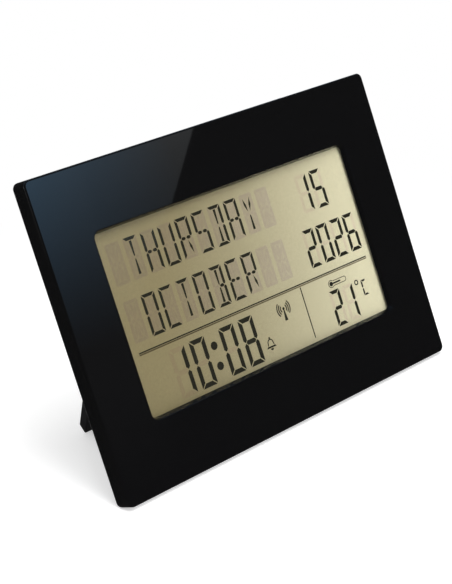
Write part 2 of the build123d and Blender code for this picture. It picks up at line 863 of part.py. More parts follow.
# Aerial rod, its coil, and the clips that seat it inside the cover
with BuildPart() as ferrite_rod:
    with BuildSketch(upright(-rod_length / 2)):
        Circle(rod_radius)
    extrude(amount=rod_length)
ferrite_rod.part.label = "ferrite_rod"
export_step(ferrite_rod.part, "parts/ferrite_rod.step")

with BuildPart() as aerial_coil:
    with BuildSketch(upright(-coil_length / 2)):
        Circle(coil_radius)
        Circle(rod_radius + clip_play, mode=Mode.SUBTRACT)
    extrude(amount=coil_length)
aerial_coil.part.label = "aerial_coil"
export_step(aerial_coil.part, "parts/aerial_coil.step")

clip_back = pod_inside - rod_depth
with BuildPart() as aerial_clips:
    for clip_z in (-clip_pitch / 2, clip_pitch / 2):
        with BuildSketch(upright(clip_z - clip_thickness / 2)):
            with Locations((0, clip_back / 2)):
                Rectangle(clip_width, clip_back)
            Circle(clip_width / 2)
            Circle(rod_radius + clip_play, mode=Mode.SUBTRACT)
        extrude(amount=clip_thickness)
aerial_clips.part.label = "aerial_clips"
export_step(aerial_clips.part, "parts/aerial_clips.step")


# Cross-head screws, seated by the underside of their heads
def screw_set(seat, places, radius, length, head_radius, head_height):
    with BuildPart() as screws:
        with BuildSketch(behind(seat)):
            with Locations(*places):
                Circle(head_radius)
        extrude(amount=-head_height)
        fillet(screws.faces().group_by(REAR)[-1].edges(), head_height / 2)
        with BuildSketch(behind(seat)):
            with Locations(*places):
                Circle(radius)
        extrude(amount=length)
        with BuildSketch(behind(seat + head_height)):
            with Locations(*places):
                Rectangle(head_radius * cross_length_share, cross_width)
                Rectangle(cross_width, head_radius * cross_length_share)
        extrude(amount=head_height * cross_depth_share, mode=Mode.SUBTRACT)
    return screws


case_screws = screw_set(
    head_seat,
    case_screw_places,
    case_screw_radius,
    case_screw_length,
    case_screw_head_radius,
    case_screw_head_height,
)
case_screws.part.label = "case_screws"
export_step(case_screws.part, "parts/case_screws.step")

holder_screws = screw_set(
    holder_depth + ear_thickness,
    ear_places,
    small_screw_radius,
    small_screw_length,
    small_screw_head_radius,
    small_screw_head_height,
)
holder_screws.part.label = "holder_screws"
export_step(holder_screws.part, "parts/holder_screws.step")

board_screws = screw_set(
    board_rear,
    board_post_places,
    small_screw_radius,
    small_screw_length,
    small_screw_head_radius,
    small_screw_head_height,
)
board_screws.part.label = "board_screws"
export_step(board_screws.part, "parts/board_screws.step")

# Stand, drawn open. On its side plane the first axis runs down the leg from the pivot
# and the second points to the rear.
opening = math.radians(stand_open_angle)
pivot_depth = panel_rear + stand_fold_gap + stand_thickness / 2
pivot = FACE.from_local_coords((0, pivot_rise, -pivot_depth))
leg_direction = rearward * math.sin(opening) - upward * math.cos(opening)
leg_rear = rearward * math.cos(opening) + upward * math.sin(opening)
stand_rear = stand_thickness / 2
tip_front = stand_rear - stand_tip_thickness
leg_tip = (pivot.Z + foot_flat + tip_front * math.sin(opening - lean)) / math.cos(opening - lean)
foot_top = leg_tip - foot_height
stop_depth = pivot_depth - panel_rear - stand_stop_gap
stop_start = (stop_depth - stand_rear * math.cos(opening)) / math.sin(opening)


def leg_side(x):
    return Plane(origin=pivot + Vector(x, 0, 0), x_dir=leg_direction, z_dir=(1, 0, 0))


def runs_along(edge, direction):
    return abs(edge.tangent_at(0).dot(direction)) > parallel_share


def down_leg(point):
    return (point - pivot).dot(leg_direction)


def leg_front(along):
    return -stand_rear + (tip_front + stand_rear) * max(along, 0) / leg_tip


with BuildPart() as stand_frame:
    for arm_start in (-stand_width / 2, stand_width / 2 - stand_arm_width):
        with BuildSketch(leg_side(arm_start)):
            with BuildLine():
                Polyline(
                    (-stand_rear, 0),
                    (
                        -stop_start - stand_stop_length * math.cos(opening),
                        -stand_rear + stand_stop_length * math.sin(opening),
                    ),
                    (-stop_start, -stand_rear),
                    (0, -stand_rear),
                    (foot_top, leg_front(foot_top)),
                    (foot_top, stand_rear),
                    (0, stand_rear),
                )
                CenterArc((0, 0), stand_rear, 90, 90)
            make_face()
        extrude(amount=stand_arm_width)
    with BuildSketch(leg_side(-stand_width / 2)):
        with BuildLine():
            Polyline(
                (foot_top - stand_bar_height, leg_front(foot_top - stand_bar_height)),
                (foot_top, leg_front(foot_top)),
                (foot_top, stand_rear),
                (foot_top - stand_bar_height, stand_rear),
                close=True,
            )
        make_face()
    extrude(amount=stand_width)
    inner_corners = stand_frame.edges().filter_by(
        lambda edge: runs_along(edge, leg_rear) and edge.center().Z < pivot.Z / 2
    )
    fillet(inner_corners.sort_by(Axis.Z)[-2:], stand_bar_corner_radius)
    bar_top_edges = stand_frame.edges().filter_by(
        lambda edge: runs_along(edge, Vector(1, 0, 0))
        and edge.length > pod_width / 2
        and down_leg(edge.center()) < foot_top - stand_bar_height / 2
    )
    long_edges = stand_frame.edges().filter_by(lambda edge: runs_along(edge, leg_direction))
    fillet(long_edges + bar_top_edges, stand_edge_radius)
    for tongue_start in (-stand_width / 2, stand_width / 2 - foot_width):
        with BuildSketch(leg_side(tongue_start + tongue_wall)):
            with Locations((foot_top + tongue_length / 2, stand_rear - stand_tip_thickness / 2)):
                Rectangle(tongue_length, stand_tip_thickness - 2 * tongue_wall)
        extrude(amount=foot_width - 2 * tongue_wall)
    for pin_start in (-stand_width / 2 + stand_arm_width, stand_width / 2 - stand_arm_width):
        with BuildSketch(leg_side(pin_start)):
            Circle(stand_pin_radius)
        extrude(amount=stand_pin_length if pin_start < 0 else -stand_pin_length)
stand_frame.part.label = "stand_frame"
export_step(stand_frame.part, "parts/stand_frame.step")

# Soft feet pushed over the stand's two tongues, cut flat where they stand
with BuildPart() as stand_feet:
    for foot_start in (-stand_width / 2, stand_width / 2 - foot_width):
        with BuildSketch(leg_side(foot_start)):
            with BuildLine():
                Polyline(
                    (foot_top, leg_front(foot_top)),
                    (leg_tip, tip_front),
                    (leg_tip - stand_tip_slant, stand_rear),
                    (foot_top, stand_rear),
                    close=True,
                )
            make_face()
        extrude(amount=foot_width)
    long_edges = stand_feet.edges().filter_by(lambda edge: runs_along(edge, leg_direction))
    fillet(long_edges, stand_edge_radius)
    for foot_start in (-stand_width / 2, stand_width / 2 - foot_width):
        with BuildSketch(leg_side(foot_start + tongue_wall - tongue_play)):
            with Locations(
                (foot_top + (tongue_length + tongue_play) / 2, stand_rear - stand_tip_thickness / 2)
            ):
                Rectangle(
                    tongue_length + tongue_play, stand_tip_thickness - 2 * tongue_wall + 2 * tongue_play
                )
        extrude(amount=foot_width - 2 * (tongue_wall - tongue_play), mode=Mode.SUBTRACT)
    split(bisect_by=Plane.XY, keep=Keep.TOP)
stand_feet.part.label = "stand_feet"
export_step(stand_feet.part, "parts/stand_feet.step")
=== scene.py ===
import json
import math

import bpy
from mathutils import Matrix, Quaternion, Vector


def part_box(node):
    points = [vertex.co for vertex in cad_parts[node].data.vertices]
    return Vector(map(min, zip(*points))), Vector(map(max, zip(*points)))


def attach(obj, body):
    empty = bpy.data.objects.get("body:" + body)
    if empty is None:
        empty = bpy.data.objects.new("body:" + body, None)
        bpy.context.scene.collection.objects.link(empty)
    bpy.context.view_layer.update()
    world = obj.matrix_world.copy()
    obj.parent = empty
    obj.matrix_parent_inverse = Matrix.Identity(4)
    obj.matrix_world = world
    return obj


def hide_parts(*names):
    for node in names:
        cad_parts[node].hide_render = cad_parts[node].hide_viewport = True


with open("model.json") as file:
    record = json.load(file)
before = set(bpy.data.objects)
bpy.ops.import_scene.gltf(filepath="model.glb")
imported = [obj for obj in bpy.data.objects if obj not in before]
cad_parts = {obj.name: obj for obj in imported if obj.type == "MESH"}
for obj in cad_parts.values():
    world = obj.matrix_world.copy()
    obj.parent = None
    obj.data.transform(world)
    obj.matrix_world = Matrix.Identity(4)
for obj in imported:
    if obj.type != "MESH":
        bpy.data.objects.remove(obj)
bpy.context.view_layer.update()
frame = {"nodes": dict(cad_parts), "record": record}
nodes = frame["nodes"]
scene = bpy.context.scene
scene.view_settings.view_transform = "Standard"


# Front frame: one moulding in black ABS with thin sides and a bevelled window, screwed to
# the rear cover from behind. Its face takes a mirror gloss from the mould, and the eye
# finds only a trace of orange peel and handling haze in the reflections.
def srgb(code):
    """The linear colour of a six-digit hex code."""
    parts = [int(code[i : i + 2], 16) / 255 for i in (0, 2, 4)]
    return [*(c / 12.92 if c <= 0.04045 else ((c + 0.055) / 1.055) ** 2.4 for c in parts), 1.0]


def add(tree, kind, sockets=None, **settings):
    """Adds a node with its settings. A socket takes a value, or the output that feeds it."""
    node = tree.nodes.new(kind)
    for name, value in settings.items():
        setattr(node, name, value)
    for name, value in (sockets or {}).items():
        if isinstance(value, bpy.types.NodeSocket):
            tree.links.new(value, node.inputs[name])
        else:
            node.inputs[name].default_value = value
    return node


def finish_of(name):
    """A new material and its empty node tree."""
    material = bpy.data.materials.new(name)
    material.use_nodes = True
    material.node_tree.nodes.clear()
    return material, material.node_tree


def dress(material, *names):
    """Gives CAD nodes their finish."""
    for name in names:
        nodes[name].data.materials.clear()
        nodes[name].data.materials.append(material)


PEEL_WAVE = 0.004
PEEL_HEIGHT = 0.000003
HAZE_PATCH = 0.035
CLEAN_ROUGHNESS = 0.012
HAZY_ROUGHNESS = 0.03
gloss_abs, tree = finish_of("polished black ABS")
place = add(tree, "ShaderNodeTexCoord").outputs["Object"]
haze = add(tree, "ShaderNodeTexNoise", {"Vector": place, "Scale": 1 / HAZE_PATCH, "Detail": 4.0})
shine = add(
    tree,
    "ShaderNodeMapRange",
    {"Value": haze.outputs["Fac"], "To Min": CLEAN_ROUGHNESS, "To Max": HAZY_ROUGHNESS},
)
peel = add(tree, "ShaderNodeTexNoise", {"Vector": place, "Scale": 1 / PEEL_WAVE, "Detail": 1.0})
skin = add(
    tree,
    "ShaderNodeBump",
    {"Height": peel.outputs["Fac"], "Strength": 0.25, "Distance": PEEL_HEIGHT},
)
shader = add(
    tree,
    "ShaderNodeBsdfPrincipled",
    {
        "Base Color": srgb("0b0b0c"),
        "IOR": 1.53,
        "Roughness": shine.outputs["Result"],
        "Normal": skin.outputs["Normal"],
    },
)
add(tree, "ShaderNodeOutputMaterial", {"Surface": shader.outputs["BSDF"]})
dress(gloss_abs, "front_frame")


# Adhesive frame between the front frame and the lens: thin black foam tape, die-cut,
# with a fibrous grain that takes the light unevenly where its edge shows.
def grained(name, dark, light, grain, roughness, relief=0.0, metallic=0.0, gloss=0.5):
    """A finish with an even grain: two tones, a roughness that follows them, and a relief in metres."""
    material, tree = finish_of(name)
    place = add(tree, "ShaderNodeTexCoord").outputs["Object"]
    noise = add(tree, "ShaderNodeTexNoise", {"Vector": place, "Scale": 1 / grain, "Detail": 3.0})
    tone = add(
        tree,
        "ShaderNodeMix",
        {0: noise.outputs["Fac"], 6: srgb(dark), 7: srgb(light)},
        data_type="RGBA",
    )
    rough = add(
        tree,
        "ShaderNodeMapRange",
        {
            "Value": noise.outputs["Fac"],
            "To Min": roughness * SMOOTHEST_SHARE,
            "To Max": roughness * ROUGHEST_SHARE,
        },
    )
    bump = add(
        tree, "ShaderNodeBump", {"Height": noise.outputs["Fac"], "Strength": 1.0, "Distance": relief}
    )
    shader = add(
        tree,
        "ShaderNodeBsdfPrincipled",
        {
            "Base Color": tone.outputs[2],
            "Metallic": metallic,
            "Roughness": rough.outputs["Result"],
            "Specular IOR Level": gloss,
            "Normal": bump.outputs["Normal"],
        },
    )
    add(tree, "ShaderNodeOutputMaterial", {"Surface": shader.outputs["BSDF"]})
    return material


SMOOTHEST_SHARE = 0.85
ROUGHEST_SHARE = 1.1
foam_tape = grained(
    "black foam tape", "0c0c0d", "1a1a1b", grain=0.0009, roughness=0.9, relief=0.00002
)
dress(foam_tape, "lens_tape")


# Window lens: a pane of cast acrylic, polished on both faces and stuck behind the window.
# It is clear, so the eye sees it only by what its front face mirrors.
def clear_layer(name, tint, roughness, gloss):
    """A clear layer that mirrors only on the side that faces out, by the Fresnel share at gloss 1."""
    material, tree = finish_of(name)
    fresnel = add(tree, "ShaderNodeFresnel", {"IOR": ACRYLIC_IOR})
    inside = add(tree, "ShaderNodeNewGeometry").outputs["Backfacing"]
    outside = add(
        tree, "ShaderNodeMath", {0: gloss, 1: inside}, operation="SUBTRACT", use_clamp=True
    )
    share = add(
        tree,
        "ShaderNodeMath",
        {0: fresnel.outputs["Fac"], 1: outside.outputs["Value"]},
        operation="MULTIPLY",
    )
    clear = add(tree, "ShaderNodeBsdfTransparent", {"Color": srgb(tint)})
    mirror = add(tree, "ShaderNodeBsdfAnisotropic", {"Roughness": roughness})
    layer = add(
        tree,
        "ShaderNodeMixShader",
        {"Fac": share.outputs["Value"], 1: clear.outputs["BSDF"], 2: mirror.outputs["BSDF"]},
    )
    add(tree, "ShaderNodeOutputMaterial", {"Surface": layer.outputs["Shader"]})
    return material


ACRYLIC_IOR = 1.49
acrylic = clear_layer("clear acrylic", "fdfefe", roughness=0.03, gloss=1.0)
dress(acrylic, "window_lens")

# Display cell: the front polariser and the front glass, bonded into one laminate and made
# here as their outer skin. The film is clear, with a warm tint and a matt front. It lies
# on the face's own axes, which the wall hanger's hole gives: right, up and back, in mm.
MM = 0.001
rearward = Vector(next(m for m in frame["record"]["mounts"] if m["kind"] == "bore")["axis"])
upward = Vector((0, -rearward.z, rearward.y))
lean = math.asin(-rearward.z)
shell = [vertex.co for vertex in nodes["front_frame"].data.vertices]
heights = [point.dot(upward) for point in shell]
face_front = rearward * min(point.dot(rearward) for point in shell)
face_centre = face_front + upward * (min(heights) + max(heights)) / 2
face_turn = Matrix.Rotation(math.pi / 2 - lean, 4, "X")
face = Matrix.Translation(face_centre) @ face_turn @ Matrix.Scale(MM, 4)


def on_face(x, y, depth):
    """A point in the clock's frame: right and up from the middle of the face, and back from it."""
    return face @ Vector((x, y, -depth))


def reach(name):
    """A CAD node's lowest and highest right, up and depth on the face's axes."""
    points = [face.inverted() @ vertex.co for vertex in nodes[name].data.vertices]
    spans = [sorted((p.x, p.y, -p.z)[axis] for p in points) for axis in range(3)]
    return Vector(span[0] for span in spans), Vector(span[-1] for span in spans)


def strip(x0, y0, x1, y1):
    """An upright rectangle between two corners."""
    return [(x0, y0), (x1, y0), (x1, y1), (x0, y1)]


def piece_of(name, points, faces, material, body="case"):
    """A mesh piece whose points are in the clock's frame, riding on a body."""
    mesh = bpy.data.meshes.new(name)
    mesh.from_pydata(points, [], faces)
    mesh.materials.append(material)
    made = bpy.data.objects.new(name, mesh)
    scene.collection.objects.link(made)
    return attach(made, body)


CELL_SEAL = 0.02
laminate = clear_layer("polariser film on glass", "fdfbf4", roughness=0.3, gloss=0.35)
cell_points = []
cell_faces = []
for layer, seal in (("front_polariser", 0.0), ("front_glass", CELL_SEAL)):
    low, high = reach(layer)
    for depth in (low.z, high.z - seal):
        cell_points += [on_face(x, y, depth) for x, y in strip(low.x, low.y, high.x, high.y)]
for first in range(0, len(cell_points) - 4, 4):
    for corner in range(4):
        beside = (corner + 1) % 4
        cell_faces.append((first + corner, first + 4 + corner, first + 4 + beside, first + beside))
last = len(cell_points) - 4
cell_faces += [(0, 1, 2, 3), (last + 3, last + 2, last + 1, last)]
display_cell = piece_of("display_cell", cell_points, cell_faces, laminate)
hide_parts("front_polariser", "front_glass")


# Pearl backing: the reflector film as it shows through the cell, on the front of the glass,
# where the eye would see it through layers that bend light. Its colour holds painted light
# and shade: olive at the left and paler to the right and below. Its glints are painted into
# the colour too, as a fine random brightening and darkening, 0.1 mm in the real film and drawn at 1 mm.
def pearl_film_with_painted_light(name, shade):
    """The pearly film in a shade of itself, with painted light and shade: olive at the left, paler to
    the right and below.
    """
    material, tree = finish_of(name)
    place = add(tree, "ShaderNodeTexCoord").outputs["Object"]
    split = add(tree, "ShaderNodeSeparateXYZ", {"Vector": place})
    # Painted light and shade: the tone runs from olive at the left to pale at the right, paler still
    # lower down.
    rise = add(tree, "ShaderNodeMath", {0: split.outputs["Z"], 1: PAINTED_LIGHT_SHIFT_BY_RISE}, operation="MULTIPLY")
    across = add(
        tree, "ShaderNodeMath", {0: split.outputs["X"], 1: rise.outputs["Value"]}, operation="ADD"
    )
    along = add(
        tree,
        "ShaderNodeMapRange",
        {"Value": across.outputs["Value"], "From Min": PAINTED_SHADE_END, "From Max": PAINTED_LIGHT_END},
    )
    swell = add(
        tree, "ShaderNodeMath", {0: along.outputs["Result"], 1: PAINTED_LIGHT_SWELL}, operation="POWER"
    )
    tone = add(
        tree,
        "ShaderNodeMix",
        {0: swell.outputs["Value"], 6: srgb("94896c"), 7: srgb("f8f2da")},
        data_type="RGBA",
    )
    shaded = add(
        tree,
        "ShaderNodeMix",
        {0: 1.0, 6: tone.outputs[2], 7: srgb(shade)},
        data_type="RGBA",
        blend_type="MULTIPLY",
    )
    grain = add(tree, "ShaderNodeTexNoise", {"Vector": place, "Scale": 1 / GLINT_SIZE, "Detail": 2.0})
    glint = add(
        tree,
        "ShaderNodeMapRange",
        {"Value": grain.outputs["Fac"], "To Min": 1 - GLINT_SHARE, "To Max": 1 + GLINT_SHARE},
    )
    film = add(
        tree,
        "ShaderNodeVectorMath",
        {0: shaded.outputs[2], "Scale": glint.outputs["Result"]},
        operation="SCALE",
    )
    shader = add(
        tree,
        "ShaderNodeBsdfPrincipled",
        {"Base Color": film.outputs["Vector"], "Roughness": 0.6, "Specular IOR Level": 0.1},
    )
    add(tree, "ShaderNodeOutputMaterial", {"Surface": shader.outputs["BSDF"]})
    return material


def prisms(outlines, depth, thickness):
    """Points and faces of flat closed shapes, each an outline on the face, lying behind a depth."""
    points, faces = [], []
    for outline in outlines:
        turns = zip(outline, outline[1:] + outline[:1])
        if sum(x0 * y1 - x1 * y0 for (x0, y0), (x1, y1) in turns) < 0:
            outline = outline[::-1]
        start, count = len(points), len(outline)
        for level in (depth, depth + thickness):
            points += [on_face(x, y, level) for x, y in outline]
        faces.append(list(range(start, start + count)))
        faces.append(list(range(start + 2 * count - 1, start + count - 1, -1)))
        for here in range(count):
            beside = (here + 1) % count
            faces.append([start + here, start + count + here, start + count + beside, start + beside])
    return points, faces


def stamped(name, outlines, depth, thickness, material, body="case"):
    """Flat shapes of one colour as one piece."""
    return piece_of(name, *prisms(outlines, depth, thickness), material, body)


# The painted light and shade across the film: its shaded olive end, its pale lit end, how far the
# height shifts them, and how fast the pale side grows.
PAINTED_SHADE_END = -0.078
PAINTED_LIGHT_END = 0.07
PAINTED_LIGHT_SHIFT_BY_RISE = -0.2
PAINTED_LIGHT_SWELL = 1.75
GLINT_SIZE = 0.001
GLINT_SHARE = 0.12
PEARL_THICKNESS = 0.3
PEARL_INSET = 0.1
IMAGE_DEPTH = reach("front_glass")[0].z
low, high = reach("front_polariser")
inset = (PEARL_INSET, PEARL_INSET, -PEARL_INSET, -PEARL_INSET)
edges = [edge + trim for edge, trim in zip((low.x, low.y, high.x, high.y), inset)]
pearl = pearl_film_with_painted_light("pearl reflector film", "ffffff")
pearl_sheet = stamped("pearl_sheet", [strip(*edges)], IMAGE_DEPTH, PEARL_THICKNESS, pearl)


# Unlit letter cells: shaped electrodes on pads in the display cell, which show as a faint
# lilac shade where they aren't driven. One cell of bars, and the pad behind it, are
# repeated over two rows.
def bars(width, height, stroke, gap, stem):
    """The bars of one cell, from its lower left corner. a to g run clockwise from the top and end
    in the middle, l and r are the halves of the middle, u and v the stem, w to z the slants."""
    middle, half, centre = height / 2, stroke / 2, width / 2
    ceiling = height - stroke - gap
    slant_drop = (height / 2 - stroke) * SLANT_SHARE
    top = [
        (gap, height),
        (width - gap, height),
        (width - stroke - gap, height - stroke),
        (stroke + gap, height - stroke),
    ]
    side = [
        (0, height - gap),
        (stroke, ceiling),
        (stroke, middle + half + gap / 2),
        (half, middle + gap / 2),
        (0, middle + half + gap / 2),
    ]
    left_half = [
        (half + gap, middle),
        (stroke + gap / 2, middle + half),
        (centre - half - gap / 2, middle + half),
        (centre - gap / 2, middle),
        (centre - half - gap / 2, middle - half),
        (stroke + gap / 2, middle - half),
    ]
    upper_stem = [
        (centre - stem / 2, ceiling),
        (centre - stem / 4, middle + half + gap),
        (centre, middle + gap),
        (centre + stem / 4, middle + half + gap),
        (centre + stem / 2, ceiling),
    ]
    slant = [
        (stroke + gap, ceiling),
        (stroke + gap, ceiling - slant_drop),
        (centre - stem / 4 - gap, middle + half + gap),
        (centre - stem / 3 - gap, middle + half + gap + slant_drop),
    ]

    def across(outline):
        return [(width - x, y) for x, y in outline]

    def below(outline):
        return [(x, height - y) for x, y in outline]

    right_half = across(left_half)
    return {
        "a": top,
        "b": across(side),
        "c": across(below(side)),
        "d": below(top),
        "e": below(side),
        "f": side,
        "g": [*left_half[:2], right_half[1], right_half[0], right_half[5], left_half[5]],
        "l": left_half,
        "r": right_half,
        "u": upper_stem,
        "v": below(upper_stem),
        "w": slant,
        "x": across(slant),
        "y": below(slant),
        "z": across(below(slant)),
    }


def grown(name, inputs, build, material, matrix, body="case"):
    """A piece grown by a geometry node tree: named inputs, the nodes, one material, then its place."""
    tree = bpy.data.node_groups.new(name, "GeometryNodeTree")
    tree.interface.new_socket("Geometry", in_out="OUTPUT", socket_type="NodeSocketGeometry")
    kinds = {int: "NodeSocketInt", float: "NodeSocketFloat", bpy.types.Object: "NodeSocketObject"}
    values = {**inputs, "Material": material}
    keys = {}
    for label, value in values.items():
        kind = kinds.get(type(value), "NodeSocketMaterial")
        keys[label] = tree.interface.new_socket(label, in_out="INPUT", socket_type=kind).identifier
    given = add(tree, "NodeGroupInput").outputs
    whole = add(tree, "GeometryNodeRealizeInstances", {"Geometry": build(tree, given)})
    coloured = add(
        tree,
        "GeometryNodeSetMaterial",
        {"Geometry": whole.outputs["Geometry"], "Material": given["Material"]},
    )
    add(tree, "NodeGroupOutput", {"Geometry": coloured.outputs["Geometry"]})
    carrier = bpy.data.objects.new(name, bpy.data.meshes.new(name + "_seed"))
    scene.collection.objects.link(carrier)
    modifier = carrier.modifiers.new(name, "NODES")
    modifier.node_group = tree
    for label, value in values.items():
        modifier[keys[label]] = value
    depsgraph = bpy.context.evaluated_depsgraph_get()
    mesh = bpy.data.meshes.new_from_object(carrier.evaluated_get(depsgraph))
    mesh.transform(matrix)
    carrier.modifiers.clear()
    carrier.data = mesh
    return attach(carrier, body)


def cell_rows(tree, given):
    """One letter cell on each point of a grid."""
    grid = add(
        tree,
        "GeometryNodeMeshGrid",
        {
            "Size X": given["Row length"],
            "Size Y": given["Row gap"],
            "Vertices X": given["Cells"],
            "Vertices Y": given["Rows"],
        },
    )
    cell = add(tree, "GeometryNodeObjectInfo", {"Object": given["Cell"]})
    spread = add(
        tree,
        "GeometryNodeInstanceOnPoints",
        {"Points": grid.outputs["Mesh"], "Instance": cell.outputs["Geometry"]},
    )
    return spread.outputs["Instances"]


SLANT_SHARE = 0.42
IDLE_THICKNESS = 0.03
PAD_THICKNESS = 0.015
CONTENT_SHIFT = 1.05
CONTENT_DROP = 0.145
LETTER_CELL = {"width": 8.0, "height": 19.4, "stroke": 1.5, "gap": 0.36, "stem": 1.45}
LETTER_PITCH = 10.4
LETTER_START = -75.7
ROW_FEET = (17.6, -9.2)
CELLS_IN_A_ROW = 10
row_length = LETTER_PITCH * (CELLS_IN_A_ROW - 1)
cell_bars = [outline for key, outline in bars(**LETTER_CELL).items() if key != "g"]
cell_pad = strip(0, 0, LETTER_CELL["width"], LETTER_CELL["height"])
for name, shade, outlines, thickness in (
    ("letter_pads", "f8f5fd", [cell_pad], PAD_THICKNESS),
    ("idle_letters", "f1ecfa", cell_bars, IDLE_THICKNESS),
):
    cell_points, cell_faces = prisms(outlines, 0.0, thickness)
    cell_mesh = bpy.data.meshes.new(name + "_cell")
    cell_mesh.from_pydata([face.inverted() @ point for point in cell_points], [], cell_faces)
    grid_middle = (
        LETTER_START + CONTENT_SHIFT + row_length / 2,
        sum(ROW_FEET) / 2 - CONTENT_DROP,
        thickness - IMAGE_DEPTH,
    )
    letters = grown(
        name,
        {
            "Row length": row_length,
            "Row gap": ROW_FEET[0] - ROW_FEET[1],
            "Cells": CELLS_IN_A_ROW,
            "Rows": len(ROW_FEET),
            "Cell": bpy.data.objects.new(name + "_cell", cell_mesh),
        },
        cell_rows,
        pearl_film_with_painted_light(name.replace("_", " ") + " of liquid crystal", shade),
        face @ Matrix.Translation(grid_middle),
    )

# Lit segments: the liquid crystal where an electrode is driven, nearly black, and the bars
# that the figures leave unlit. Two rows of letters and figures stand over the time and the
# temperature, with small signs for the radio signal, the alarm and the thermometer.
DIGITS = {"0": "abcdef", "1": "bc", "2": "abdeg", "5": "acdfg", "6": "acdefg", "8": "abcdefg"}
LETTERS = {
    "A": "abceflr",
    "B": "abcdruv",
    "C": "adef",
    "D": "abcduv",
    "E": "adeflr",
    "H": "bceflr",
    "O": "abcdef",
    "R": "abeflrz",
    "S": "acdflr",
    "T": "auv",
    "U": "bcdef",
    "Y": "wxv",
}
DATE_CELL = {"width": 7.7, "height": 19.0, "stroke": 1.8, "gap": 0.34, "stem": 1.2}
TIME_CELL = {"width": 9.4, "height": 23.3, "stroke": 2.25, "gap": 0.38, "stem": 1.4}
HEAT_CELL = {"width": 7.3, "height": 18.0, "stroke": 1.8, "gap": 0.34, "stem": 1.2}
SCALE_CELL = {"width": 3.7, "height": 8.0, "stroke": 0.95, "gap": 0.22, "stem": 0.5}


def moved(outlines, x, y, size=1.0):
    """Outlines drawn at a size and set at a place."""
    return [[(x + size * px, y + size * py) for px, py in outline] for outline in outlines]


def arc(x, y, radius, start, end, steps):
    """Points along a round, between two angles in degrees."""
    angles = [math.radians(start + (end - start) * step / steps) for step in range(steps + 1)]
    return [(x + radius * math.cos(angle), y + radius * math.sin(angle)) for angle in angles]


def ring(x, y, inner, outer, start, end, steps):
    """A band of a round as one outline."""
    return arc(x, y, outer, start, end, steps) + arc(x, y, inner, end, start, steps)


def disc(x, y, radius, steps=24):
    """A full round as one outline."""
    return arc(x, y, radius, 0, 360, steps)[:-1]


def hoop(outline, share):
    """A closed band along an outline in joined strips, as wide as a share of the way to its middle."""
    middle = [sum(point[axis] for point in outline) / len(outline) for axis in range(2)]
    inner = [tuple(p + (m - p) * share for p, m in zip(point, middle)) for point in outline]
    steps = [(here, (here + 1) % len(outline)) for here in range(len(outline))]
    return [[outline[a], outline[b], inner[b], inner[a]] for a, b in steps]


def bell(x, y, size):
    """A bell in three outlines, in shares of its size: a domed body with a flared rim, a knob and
    a clapper."""
    flare = [(-0.34, -0.22), (-0.5, -0.38), (0.5, -0.38), (0.34, -0.22)]
    body = arc(0, 0, 0.3, 0, 180, 10) + flare
    return moved([body, disc(0, 0.36, 0.08), arc(0, -0.43, 0.15, 180, 360, 8)], x, y, size)


def mast(x, y, size):
    """A radio mast with three waves at each side, in shares of its size."""
    top, wave = 0.12, 0.065
    mast_body = [(-0.1, -0.5), (0.1, -0.5), (0.025, top), (-0.025, top)]
    shapes = [mast_body, disc(0, top, 0.075, 12)]
    for inner in (0.17, 0.29, 0.41):
        for middle in (0, 180):
            shapes.append(ring(0, top, inner, inner + wave, middle - 46, middle + 46, 12))
    return moved(shapes, x, y, size)


def thermometer(x, y, length):
    """A thermometer lying on its side, in shares of its length: a filled bulb at the left, the
    column in the tube, and the glass round both."""
    wall, bulb, tube, column, tube_end = 0.03, 0.1495, 0.0936, 0.0364, 0.86
    shapes = [disc(0, 0, 0.104), strip(0, -column, 0.6, column)]
    shapes.append(ring(0, 0, bulb, bulb + wall, 48, 312, 24))
    for side in (-1, 1):
        shapes.append(strip(0.13, side * tube, tube_end, side * (tube + wall)))
    shapes.append(ring(tube_end, 0, tube, tube + wall, -90, 90, 12))
    return moved(shapes, x, y, length)


LOWER_FOOT = -41.3
RULE_STROKE = 0.6
RULE_ENDS = (-75.7, 76.7)
RULE_FEET = (-14.25, -15.1)
DIVIDER_PLACE = 28.0
DIVIDER_TOP = -15.3
COLON_PLACE = -33.7
COLON_RISES = (-24.4, -34.3)
COLON_RADIUS = 2.0
DEGREE_ROUND = disc(65.0, -24.4, 1.4)
DEGREE_STROKE_SHARE = 0.42
BELL_STROKE_SHARE = 0.3
lit, unlit = [], []
# Each line: its characters, the table they are in, the cell, its left end, foot and pitch.
for text, table, cell, start, foot, pitch in (
    (" THURSDAY ", LETTERS, LETTER_CELL, LETTER_START, ROW_FEET[0], LETTER_PITCH),
    (" OCTOBER  ", LETTERS, LETTER_CELL, LETTER_START, ROW_FEET[1], LETTER_PITCH),
    ("15", DIGITS, DATE_CELL, 45.4, 17.4, 10.2),
    ("2026", DIGITS, DATE_CELL, 39.5, -9.2, 9.67),
    ("10", DIGITS, TIME_CELL, -60.0, LOWER_FOOT, 12.5),
    ("08", DIGITS, TIME_CELL, -28.7, LOWER_FOOT, 12.5),
    ("21", DIGITS, HEAT_CELL, 45.0, LOWER_FOOT, 9.3),
    ("C", LETTERS, SCALE_CELL, 68.0, -32.3, 0.0),
):
    shapes = bars(**cell)
    for order, character in enumerate(text):
        keys = table.get(character, "")
        left = start + order * pitch
        lit += moved([shapes[key] for key in keys], left, foot)
        if table is DIGITS:
            rest = sorted(set(DIGITS["8"]) - set(keys))
            unlit += moved([shapes[key] for key in rest], left, foot)
lit += [disc(COLON_PLACE, rise, COLON_RADIUS) for rise in COLON_RISES]
lit += hoop(DEGREE_ROUND, DEGREE_STROKE_SHARE)
